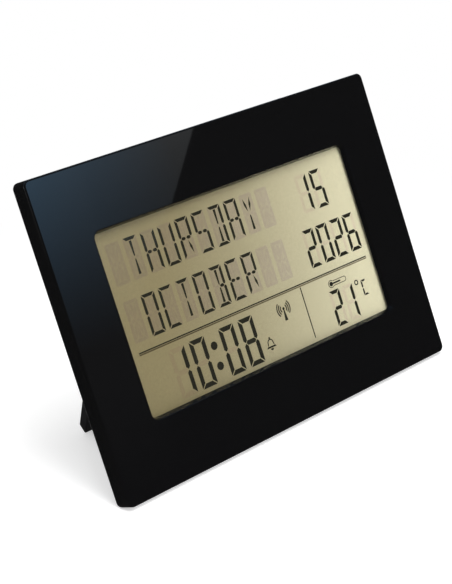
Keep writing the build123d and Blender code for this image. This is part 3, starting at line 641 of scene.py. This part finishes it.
# The lower of the two strips is the rule's shadow on the film behind it.
rule, shadow = (
    strip(RULE_ENDS[0], foot, RULE_ENDS[1], foot + RULE_STROKE) for foot in RULE_FEET
)
lit.append(rule)
half_rule = RULE_STROKE / 2
lit.append(strip(DIVIDER_PLACE - half_rule, LOWER_FOOT, DIVIDER_PLACE + half_rule, DIVIDER_TOP))
lit += mast(13.7, -22.7, size=9.6)
dome, *knob_and_clapper = bell(-0.5, -34.2, size=6.4)
lit += hoop(dome, BELL_STROKE_SHARE) + knob_and_clapper
lit += thermometer(48.4, -20.0, length=11.0)
LIT_THICKNESS = 0.06
faint = pearl_film_with_painted_light("idle liquid crystal of the figures", "f9f2f8")
crystal = grained(
    "driven liquid crystal", "262520", "302f2a", grain=0.0006, roughness=0.6, gloss=0.0
)
dim = pearl_film_with_painted_light("shadow of the rule on the film", "8c857f")
for name, outlines, thickness, material in (
    ("idle_digits", unlit, IDLE_THICKNESS, faint),
    ("lit_segments", lit, LIT_THICKNESS, crystal),
    ("rule_shadow", [shadow], IDLE_THICKNESS, dim),
):
    outlines = moved(outlines, CONTENT_SHIFT, -CONTENT_DROP)
    segments = stamped(name, outlines, IMAGE_DEPTH - thickness, thickness, material)

# Rear glass and reflector: a cut pane of soda-lime glass with a green edge, and behind it
# the rear polariser with its pearl backing, which throws the room's light back.
GLASS_WAVE = 0.02
soda_glass, tree = finish_of("cut soda-lime glass")
place = add(tree, "ShaderNodeTexCoord").outputs["Object"]
waves = add(tree, "ShaderNodeTexNoise", {"Vector": place, "Scale": 1 / GLASS_WAVE, "Detail": 1.0})
tint = add(
    tree,
    "ShaderNodeMix",
    {0: waves.outputs["Fac"], 6: srgb("c4d6cb"), 7: srgb("d3e2d8")},
    data_type="RGBA",
)
shader = add(
    tree,
    "ShaderNodeBsdfPrincipled",
    {"Base Color": tint.outputs[2], "Roughness": 0.05, "IOR": 1.52, "Transmission Weight": 0.9},
)
add(tree, "ShaderNodeOutputMaterial", {"Surface": shader.outputs["BSDF"]})
dress(soda_glass, "rear_glass")
dress(pearl, "reflector_film")

# Display holder, rear cover, battery door and aerial clips: black ABS from a spark-eroded
# mould. The fine pitted grain scatters the light to a soft dark grey. Its pits are about
# 0.2 mm, drawn here at 0.7 mm, as finer ones wouldn't show.
matt_abs = grained(
    "spark-eroded black ABS", "101011", "1f1f20", grain=0.0007, roughness=0.52, relief=0.00012
)
dress(matt_abs, "display_holder", "rear_cover", "battery_door", "aerial_clips")

# Connector strip: silicone rubber with fine carbon layers across it, pressed between the
# glass and the board to join them. The layers are 0.1 mm apart, drawn at 0.6 mm to show.
LAYER_PITCH = 0.0006
WAVE_AT_SCALE_1 = 0.314
zebra, tree = finish_of("layered silicone rubber")
place = add(tree, "ShaderNodeTexCoord").outputs["Object"]
layers = add(
    tree,
    "ShaderNodeTexWave",
    {"Vector": place, "Scale": WAVE_AT_SCALE_1 / LAYER_PITCH},
    bands_direction="X",
)
tone = add(
    tree,
    "ShaderNodeMix",
    {0: layers.outputs["Fac"], 6: srgb("26262a"), 7: srgb("c79a9c")},
    data_type="RGBA",
)
shader = add(tree, "ShaderNodeBsdfPrincipled", {"Base Color": tone.outputs[2], "Roughness": 0.8})
add(tree, "ShaderNodeOutputMaterial", {"Surface": shader.outputs["BSDF"]})
dress(zebra, "connector_strip")

# Main board and radio board: glass-epoxy laminate under green solder mask. Copper tracks
# show as paler lines under the mask, in groups that run across or up the board, with
# small tinned rounds where they end.
TRACK_RUN = 0.011
TRACK_GAP = 0.0013
TRACK_WIDTH = 0.0003
ROUND_GAP = 0.0042
ROUND_RADIUS = 0.00055
solder_mask, tree = finish_of("green solder mask on laminate")
place = add(tree, "ShaderNodeTexCoord").outputs["Object"]
flat = add(tree, "ShaderNodeMapping", {"Vector": place, "Rotation": (lean - math.pi / 2, 0, 0)})
flat = flat.outputs["Vector"]
turned = add(tree, "ShaderNodeMapping", {"Vector": flat, "Rotation": (0, 0, math.pi / 2)})
across, upwards = (
    add(
        tree,
        "ShaderNodeTexBrick",
        {
            "Vector": run,
            "Color1": srgb("0b4527"),
            "Color2": srgb("0e4c2b"),
            "Mortar": srgb("2b7a49"),
            "Scale": 1.0,
            "Mortar Size": TRACK_WIDTH / 2,
            "Mortar Smooth": 0.0,
            "Brick Width": TRACK_RUN,
            "Row Height": TRACK_GAP,
        },
        offset=0.37,
    )
    for run in (flat, turned.outputs["Vector"])
)
patches = add(tree, "ShaderNodeTexVoronoi", {"Vector": flat, "Scale": 1 / TRACK_RUN})
groups = add(tree, "ShaderNodeSeparateXYZ", {"Vector": patches.outputs["Color"]})
runs_up = add(tree, "ShaderNodeMath", {0: groups.outputs["X"], 1: 0.5}, operation="GREATER_THAN")
tracks = add(
    tree,
    "ShaderNodeMix",
    {0: runs_up.outputs["Value"], 6: across.outputs["Color"], 7: upwards.outputs["Color"]},
    data_type="RGBA",
)
rounds = add(tree, "ShaderNodeTexVoronoi", {"Vector": flat, "Scale": 1 / ROUND_GAP})
tinned = add(
    tree,
    "ShaderNodeMath",
    {0: rounds.outputs["Distance"], 1: ROUND_RADIUS / ROUND_GAP},
    operation="LESS_THAN",
)
face_tone = add(
    tree,
    "ShaderNodeMix",
    {0: tinned.outputs["Value"], 6: tracks.outputs[2], 7: srgb("b3b4ae")},
    data_type="RGBA",
)
shader = add(
    tree,
    "ShaderNodeBsdfPrincipled",
    {
        "Base Color": face_tone.outputs[2],
        "Metallic": tinned.outputs["Value"],
        "Roughness": 0.35,
        "Coat Weight": 0.4,
    },
)
add(tree, "ShaderNodeOutputMaterial", {"Surface": shader.outputs["BSDF"]})
dress(solder_mask, "main_board", "radio_board")

# Resin pieces on the board: the chip under its drop of black epoxy, the sensor's bead,
# and the push switches with their plungers. Poured or moulded, they keep a soft gloss.
epoxy = grained("black epoxy", "0a0a0b", "161617", grain=0.002, roughness=0.3, relief=0.00001)
dress(epoxy, "clock_chip", "temperature_sensor", "push_switches")
dress(epoxy, *(name for name in nodes if name.endswith("_plunger")))

# Drawn cans: the crystal's and the capacitor's, deep-drawn from aluminium and soldered to
# the board by their wires. They are bright, with a slight unevenness from the drawing.
can = grained("drawn aluminium", "a9abad", "c6c8c9", grain=0.0015, roughness=0.3, metallic=1.0)
dress(can, "quartz_crystal", "capacitor")

# Contacts and pins: spring steel strip, stamped and nickel plated, pushed into slots in
# the battery box. The rolling grain shows through the plating as a warm, uneven shine.
nickel = grained(
    "nickel-plated steel", "a8a49c", "c9c5bc", grain=0.0008, roughness=0.32, metallic=1.0
)
dress(nickel, "radio_pins", "negative_contact", "positive_contact", "bridge_contact")

# Screws: cold-headed steel with a cross recess, zinc plated. They hold the cover, the
# display holder and the board, and look bluer and duller than the contacts.
zinc = grained("zinc-plated steel", "8e9195", "b4b7ba", grain=0.0006, roughness=0.36, metallic=1.0)
dress(zinc, "case_screws", "holder_screws", "board_screws")

# Leads: stranded wire in extruded PVC, soldered from the battery contacts to the board.
# The soft sleeve has a dull shine, black for the negative end and red for the positive.
for name, colour, dark, light in (
    ("negative_lead", "black", "101011", "1c1c1d"),
    ("positive_lead", "red", "8f1512", "ad201a"),
):
    dress(grained(colour + " PVC", dark, light, grain=0.001, roughness=0.45), name)

# Batteries: steel cans in a plain printed sleeve, dark green with a pale band near the
# raised end, and bare plated steel at both ends. Shares run from the raised end.
NUB_SHARE = 0.035
BAND_SHARE = 0.22
SLEEVE_SHARE = 0.975
BARE_STEEL = "c4c2bc"
PRINTED = (
    (0.0, BARE_STEEL),
    (NUB_SHARE, "d8d9d4"),
    (BAND_SHARE, "1f4034"),
    (SLEEVE_SHARE, BARE_STEEL),
)
BARE = ((0.0, "ffffff"), (NUB_SHARE, "000000"), (SLEEVE_SHARE, "ffffff"))
for name, facing in (("upper_battery", 1), ("lower_battery", -1)):
    low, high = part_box(name)
    nub = high.x if facing > 0 else low.x
    sleeve, tree = finish_of(f"printed sleeve of the {name.replace('_', ' ')}")
    place = add(tree, "ShaderNodeTexCoord").outputs["Object"]
    split = add(tree, "ShaderNodeSeparateXYZ", {"Vector": place})
    along = add(
        tree,
        "ShaderNodeMapRange",
        {
            "Value": split.outputs["X"],
            "From Min": nub,
            "From Max": nub - facing * (high.x - low.x),
        },
    )
    ramps = []
    for stops in (PRINTED, BARE):
        ramp = add(tree, "ShaderNodeValToRGB", {"Fac": along.outputs["Result"]})
        ramp.color_ramp.interpolation = "CONSTANT"
        ramp.color_ramp.elements.remove(ramp.color_ramp.elements[1])
        ramp.color_ramp.elements[0].color = srgb(stops[0][1])
        for share, code in stops[1:]:
            ramp.color_ramp.elements.new(share).color = srgb(code)
        ramps.append(ramp.outputs["Color"])
    shader = add(
        tree,
        "ShaderNodeBsdfPrincipled",
        {"Base Color": ramps[0], "Metallic": ramps[1], "Roughness": 0.32},
    )
    add(tree, "ShaderNodeOutputMaterial", {"Surface": shader.outputs["BSDF"]})
    dress(sleeve, name)


# Battery springs: tapered coils of plated wire, wide on the contact and narrow on the
# cell. The winding follows a spiral of five turns.
def wound_wire(tree, given):
    """A round wire along a spiral."""
    path = add(
        tree,
        "GeometryNodeCurveSpiral",
        {
            "Resolution": given["Points per turn"],
            "Rotations": given["Turns"],
            "Start Radius": given["Start radius"],
            "End Radius": given["End radius"],
            "Height": given["Length"],
        },
    )
    section = add(
        tree,
        "GeometryNodeCurvePrimitiveCircle",
        {"Resolution": WIRE_SIDES, "Radius": given["Wire radius"]},
    )
    wire = add(
        tree,
        "GeometryNodeCurveToMesh",
        {
            "Curve": path.outputs["Curve"],
            "Profile Curve": section.outputs["Curve"],
            "Fill Caps": True,
        },
    )
    return wire.outputs["Mesh"]


WIRE_SIDES = 8
SPRING_WIRE = 0.0004
SPRING_TURNS = 5.0
SPRING_TIP_SHARE = 2.6 / 4.6
for name, facing in (("upper_spring", 1), ("lower_spring", -1)):
    low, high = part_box(name)
    middle = (low + high) / 2
    base = (high.z - low.z) / 2
    start = Vector((low.x if facing > 0 else high.x, middle.y, middle.z))
    lie = Matrix.Rotation(facing * math.pi / 2, 4, "Y")
    coil = grown(
        name.replace("spring", "wire_spring"),
        {
            "Points per turn": 28,
            "Turns": SPRING_TURNS,
            "Start radius": base - SPRING_WIRE,
            "End radius": base * SPRING_TIP_SHARE - SPRING_WIRE,
            "Length": high.x - low.x - 2 * SPRING_WIRE,
            "Wire radius": SPRING_WIRE,
        },
        wound_wire,
        nickel,
        Matrix.Translation(start) @ lie @ Matrix.Translation((0, 0, SPRING_WIRE)),
    )
    coil.data.shade_smooth()
    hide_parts(name)

# Aerial: a sintered ferrite rod with a winding of enamelled copper, held in two clips.
# The turns lie side by side, drawn at 0.45 mm where the real wire is finer.
WINDING_WIRE = 0.00022
ferrite = grained(
    "sintered ferrite", "19191b", "2b2b2e", grain=0.0012, roughness=0.6, relief=0.00002
)
dress(ferrite, "ferrite_rod")
copper = grained("enamelled copper", "8a431f", "b4622f", grain=0.001, roughness=0.28, metallic=1.0)
low, high = reach("aerial_coil")
winding_length = (high.y - low.y) * MM
winding_radius = (high.x - low.x) * MM / 2
winding_foot = on_face((low.x + high.x) / 2, low.y, (low.z + high.z) / 2)
winding = grown(
    "aerial_winding",
    {
        "Points per turn": 20,
        "Turns": round(winding_length / (2 * WINDING_WIRE)) - 1.0,
        "Start radius": winding_radius - WINDING_WIRE,
        "End radius": winding_radius - WINDING_WIRE,
        "Length": winding_length - 2 * WINDING_WIRE,
        "Wire radius": WINDING_WIRE,
    },
    wound_wire,
    copper,
    Matrix.Translation(winding_foot + upward * WINDING_WIRE) @ Matrix.Rotation(-lean, 4, "X"),
)
winding.data.shade_smooth()
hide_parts("aerial_coil")

# Sounder: a rolled brass disc in a ring of the cover, with a thin fired ceramic on it. The
# ceramic's silver coat is pale and matt beside the bright brass.
brass = grained("rolled brass", "a8823a", "c39b4c", grain=0.0009, roughness=0.3, metallic=1.0)
dress(brass, "sounder_disc")
ceramic = grained("silvered ceramic", "c9c7c0", "e0ded8", grain=0.0007, roughness=0.5)
dress(ceramic, "sounder_ceramic")

# Keys: satin ABS in dark grey, caught behind the cover by a flange. Each has its sign above
# it, pad-printed on the cover in a pale grey ink that lies on the grain as a dull film.
INK_THICKNESS = 0.04
SIGN_RISE = 5.0
SIGN_SIZE = 4.2
STROKE = 1 / 14
KEY_STANDS_PROUD = 1.2
key_abs = grained(
    "satin grey ABS", "2c2e30", "393b3e", grain=0.0008, roughness=0.42, relief=0.00001
)
dress(key_abs, *(name for name in nodes if name.endswith("_key")))
ink = grained("pale grey pad-printing ink", "a9acae", "c3c6c8", grain=0.0012, roughness=0.6)
dash = strip(-0.5, -STROKE, 0.5, STROKE)
upper_dash = strip(-STROKE, STROKE, STROKE, 0.5)
lower_dash = strip(-STROKE, -0.5, STROKE, -STROKE)
signs = []
for key, sign in (
    ("mode", [strip(-0.5, rise - STROKE, 0.5, rise + STROKE) for rise in (-0.3, 0, 0.3)]),
    ("minus", [dash]),
    ("plus", [dash, upper_dash, lower_dash]),
    ("alarm", bell(0, 0, size=1.0)),
    ("radio", mast(0, 0, size=1.2)),
):
    low, high = reach(key + "_key")
    signs += moved(sign, (low.x + high.x) / 2, high.y + SIGN_RISE, SIGN_SIZE)
cover_depth = reach("radio_key")[1].z - KEY_STANDS_PROUD
key_signs = stamped("key_signs", signs, cover_depth, INK_THICKNESS, ink)

# Arrow on the battery door: pad-printed in the same ink beside the thumb ribs, pointing
# the way the door slides off.
ARROW_SIZE = 7.0
THUMB_RIB_HEIGHT = 0.5
low, high = reach("battery_door")
arrow = [strip(-0.5, -0.11, 0, 0.11), [(0, -0.35), (0.5, 0), (0, 0.35)]]
arrow = moved(arrow, (low.x + high.x) / 2, (low.y + high.y) / 2, ARROW_SIZE)
door_skin = high.z - THUMB_RIB_HEIGHT
door_arrow = stamped("door_arrow", arrow, door_skin, INK_THICKNESS, ink, "battery_door")

# Stand: a frame with two arms, moulded in black ABS from a dull, finer mould, so it is
# darker than the cover that it folds onto. It turns on two pins in the cover.
dull_abs = grained(
    "dull black ABS", "080809", "101011", grain=0.0007, roughness=0.7, relief=0.00008, gloss=0.12
)
dress(dull_abs, "stand_frame")

# Stand feet: soft black rubber pushed over the stand's tongues, so that the clock doesn't
# slide. It is dull, and a little darker than the stand.
rubber = grained(
    "black rubber", "060606", "0d0d0d", grain=0.0009, roughness=0.85, relief=0.00003, gloss=0.2
)
dress(rubber, "stand_feet")


# Stage: a plain pale floor that keeps the clock's shadow and fades to white, a white
# surround, and three soft lamps, two in front of the clock and one behind it.
def seen_rays(tree):
    """1 for rays by which the eye, a mirror or a clear layer sees the surround, and 0 for others."""
    path = add(tree, "ShaderNodeLightPath")
    seen = path.outputs["Is Camera Ray"]
    for kind in ("Is Glossy Ray", "Is Transmission Ray"):
        both = add(tree, "ShaderNodeMath", {0: seen, 1: path.outputs[kind]}, operation="MAXIMUM")
        seen = both.outputs["Value"]
    return seen


def stage_card(name, corners, material, matrix):
    """A flat card that isn't part of the clock."""
    mesh = bpy.data.meshes.new(name)
    mesh.from_pydata([(x, y, 0) for x, y in corners], [], [range(len(corners))])
    mesh.materials.append(material)
    card = bpy.data.objects.new(name, mesh)
    card.matrix_world = matrix
    scene.collection.objects.link(card)
    return card


FLOOR_HALF = 4.0
FLOOR_DROP = 0.0001
FLOOR_LIFT = 0.5
FADE_START = 0.14
FADE_END = 0.42
SURROUND_FILL = 0.2
floor_white, tree = finish_of("white floor")
place = add(tree, "ShaderNodeTexCoord").outputs["Object"]
seen = seen_rays(tree)
distance = add(tree, "ShaderNodeVectorMath", {0: place}, operation="LENGTH")
far = add(
    tree,
    "ShaderNodeMapRange",
    {"Value": distance.outputs["Value"], "From Min": FADE_START, "From Max": FADE_END},
    interpolation_type="SMOOTHSTEP",
)
diffuse = add(tree, "ShaderNodeBsdfDiffuse", {"Color": srgb("f2f2f2")})
lift = add(tree, "ShaderNodeMath", {0: seen, 1: FLOOR_LIFT}, operation="MULTIPLY")
glow = add(tree, "ShaderNodeEmission", {"Strength": lift.outputs["Value"]})
near_floor = add(
    tree, "ShaderNodeAddShader", {0: diffuse.outputs["BSDF"], 1: glow.outputs["Emission"]}
)
white = add(tree, "ShaderNodeEmission", {"Strength": 1.0})
fade = add(tree, "ShaderNodeMath", {0: far.outputs["Result"], 1: seen}, operation="MULTIPLY")
ground = add(
    tree,
    "ShaderNodeMixShader",
    {"Fac": fade.outputs["Value"], 1: near_floor.outputs["Shader"], 2: white.outputs["Emission"]},
)
add(tree, "ShaderNodeOutputMaterial", {"Surface": ground.outputs["Shader"]})
floor_outline = strip(-FLOOR_HALF, -FLOOR_HALF, FLOOR_HALF, FLOOR_HALF)
stage_card("floor", floor_outline, floor_white, Matrix.Translation((0, 0, -FLOOR_DROP)))

world = bpy.data.worlds.new("white surround")
scene.world = world
world.use_nodes = True
tree = world.node_tree
tree.nodes.clear()
fill = add(tree, "ShaderNodeBackground", {"Color": srgb("ffffff"), "Strength": SURROUND_FILL})
backdrop = add(tree, "ShaderNodeBackground", {"Color": srgb("ffffff"), "Strength": 1.0})
around = add(
    tree,
    "ShaderNodeMixShader",
    {"Fac": seen_rays(tree), 1: fill.outputs["Background"], 2: backdrop.outputs["Background"]},
)
add(tree, "ShaderNodeOutputWorld", {"Surface": around.outputs["Shader"]})

# Each lamp: its place on the face's axes in mm, its width in metres and its power in watts.
for name, x, y, depth, width, watts in (
    ("key_lamp", -150.0, 760.0, -700.0, 0.6, 6.2),
    ("front_lamp", -150.0, 140.0, -620.0, 0.3, 1.8),
    ("back_lamp", 250.0, 650.0, 850.0, 0.8, 5.8),
):
    lamp = bpy.data.lights.new(name, "AREA")
    lamp.size = width
    lamp.energy = watts
    holder = bpy.data.objects.new(name, lamp)
    holder.location = on_face(x, y, depth)
    holder.rotation_mode = "QUATERNION"
    holder.rotation_quaternion = (face_centre - holder.location).to_track_quat("-Z", "Y")
    holder.visible_camera = False
    holder.visible_glossy = False
    scene.collection.objects.link(holder)


# Cards for the black gloss: dark flags round the clock, a dim blue one above it, and a pale
# one in front that makes the sheen on the face's upper left. Only reflections see them, as
# in a studio where they stand out of the picture.
def only_mirrored(card):
    """Hides a card from all but glossy reflections."""
    for kind in ("camera", "diffuse", "shadow", "transmission", "volume_scatter"):
        setattr(card, "visible_" + kind, False)


DARK = "373737"
CARD_DISTANCE = 462.0
upright = Matrix.Rotation(math.pi / 2, 4, "Y")
lying = Matrix.Rotation(math.pi / 2, 4, "X")
in_front = face @ Matrix.Translation((0, 0, CARD_DISTANCE))
at_left = face @ Matrix.Translation((-700, 0, 0)) @ upright
at_right = face @ Matrix.Translation((900, 0, 0)) @ upright
above = face @ Matrix.Translation((0, 700, 0)) @ lying
behind = Matrix.Translation((0, 0.5, 0)) @ lying
on_floor = Matrix.Translation((0, 0, -FLOOR_DROP / 2))
# Each flag: its shade, its corners in its own plane and that plane, in mm where it is the face's.
for name, shade, corners, plane in (
    ("front_flag", DARK, (-1100, -420, 1100, 700), in_front),
    ("left_flag", DARK, (-700, -400, 120, 700), at_left),
    ("right_flag", DARK, (-700, -400, 120, 700), at_right),
    ("front_floor_flag", DARK, (-0.95, -0.6, 0.95, 0.005), on_floor),
    ("left_floor_flag", DARK, (-0.95, 0.005, -0.1, 0.5), on_floor),
    ("right_floor_flag", DARK, (0.1, 0.005, 0.95, 0.5), on_floor),
    ("top_flag", "6d8095", (-1500, -1200, 1500, 700), above),
    ("rear_flag", DARK, (-0.5, 0.0, 0.5, 0.35), behind),
):
    flag, tree = finish_of(name)
    dim = add(tree, "ShaderNodeEmission", {"Color": srgb(shade), "Strength": 1.0})
    add(tree, "ShaderNodeOutputMaterial", {"Surface": dim.outputs["Emission"]})
    only_mirrored(stage_card(name, strip(*corners), flag, plane))

# The pale card is a blue glow over a dim grey, which fades to the flag's shade at its edges.
PALE_OUTLINE = [(90, -210), (260, -210), (260, -60), (424, 129), (90, 129)]
PALE_GAP = 2.0
pale, tree = finish_of("near_pale_card")
place = add(tree, "ShaderNodeTexCoord").outputs["Object"]
split = add(tree, "ShaderNodeSeparateXYZ", {"Vector": place})
across, rise, fade, brim, foot, flank = (
    add(
        tree,
        "ShaderNodeMapRange",
        {
            "Value": split.outputs[axis],
            "From Min": start,
            "From Max": end,
            "To Min": first,
            "To Max": 1 - first,
        },
        interpolation_type=blend,
    ).outputs["Result"]
    for axis, start, end, first, blend in (
        ("X", 200.0, 345.0, 0.0, "LINEAR"),
        ("Y", -110.0, 72.0, 0.0, "LINEAR"),
        ("X", 90.0, 196.0, 0.0, "SMOOTHSTEP"),
        ("Y", 74.0, 129.0, 1.0, "SMOOTHSTEP"),
        ("Y", -190.0, -90.0, 0.0, "SMOOTHSTEP"),
        ("X", 239.0, 260.0, 1.0, "SMOOTHSTEP"),
    )
)
hue = add(
    tree,
    "ShaderNodeMix",
    {0: across, 6: srgb("9fd4ff"), 7: srgb("9ca0a2")},
    data_type="RGBA",
)
swell = add(tree, "ShaderNodeMath", {0: rise, 1: 2.0}, operation="POWER")
soft = add(tree, "ShaderNodeMath", {0: fade, 1: brim}, operation="MULTIPLY")
share = add(
    tree,
    "ShaderNodeMath",
    {0: swell.outputs["Value"], 1: soft.outputs["Value"]},
    operation="MULTIPLY",
)
level = add(
    tree,
    "ShaderNodeMapRange",
    {"Value": share.outputs["Value"], "From Min": 0.043, "To Min": 0.0, "To Max": 1.34},
)
glow = add(
    tree, "ShaderNodeEmission", {"Color": hue.outputs[2], "Strength": level.outputs["Result"]}
)
low_end = add(tree, "ShaderNodeMath", {0: foot, 1: flank}, operation="MULTIPLY")
low_soft = add(
    tree,
    "ShaderNodeMath",
    {0: soft.outputs["Value"], 1: low_end.outputs["Value"]},
    operation="MULTIPLY",
)
low_level = add(
    tree, "ShaderNodeMapRange", {"Value": low_soft.outputs["Value"], "To Min": 0.546, "To Max": 1.0}
)
grey = add(
    tree, "ShaderNodeEmission", {"Color": srgb("4b4b4c"), "Strength": low_level.outputs["Result"]}
)
both = add(
    tree, "ShaderNodeAddShader", {0: glow.outputs["Emission"], 1: grey.outputs["Emission"]}
)
add(tree, "ShaderNodeOutputMaterial", {"Surface": both.outputs["Shader"]})
before_flag = face @ Matrix.Translation((0, 0, CARD_DISTANCE - PALE_GAP))
only_mirrored(stage_card("near_pale_card", PALE_OUTLINE, pale, before_flag))

# Camera, at the photograph's viewpoint: where it stands, where its middle ray meets the
# clock's face, and how far it is tilted about that ray.
CAMERA_PLACE = Vector((-0.48776, -0.51226, 0.32353))
CAMERA_AIM = Vector((-0.01987, 0.01387, 0.07094))
CAMERA_ROLL = math.radians(-6.025)
CAMERA_LENS = 98.95
SENSOR_WIDTH = 36.0
lens = bpy.data.cameras.new("camera")
lens.lens = CAMERA_LENS
lens.sensor_width = SENSOR_WIDTH
camera = bpy.data.objects.new("camera", lens)
camera.location = CAMERA_PLACE
camera.rotation_mode = "QUATERNION"
level = (CAMERA_AIM - CAMERA_PLACE).to_track_quat("-Z", "Y")
camera.rotation_quaternion = level @ Quaternion((0, 0, 1), CAMERA_ROLL)
scene.collection.objects.link(camera)
scene.camera = camera
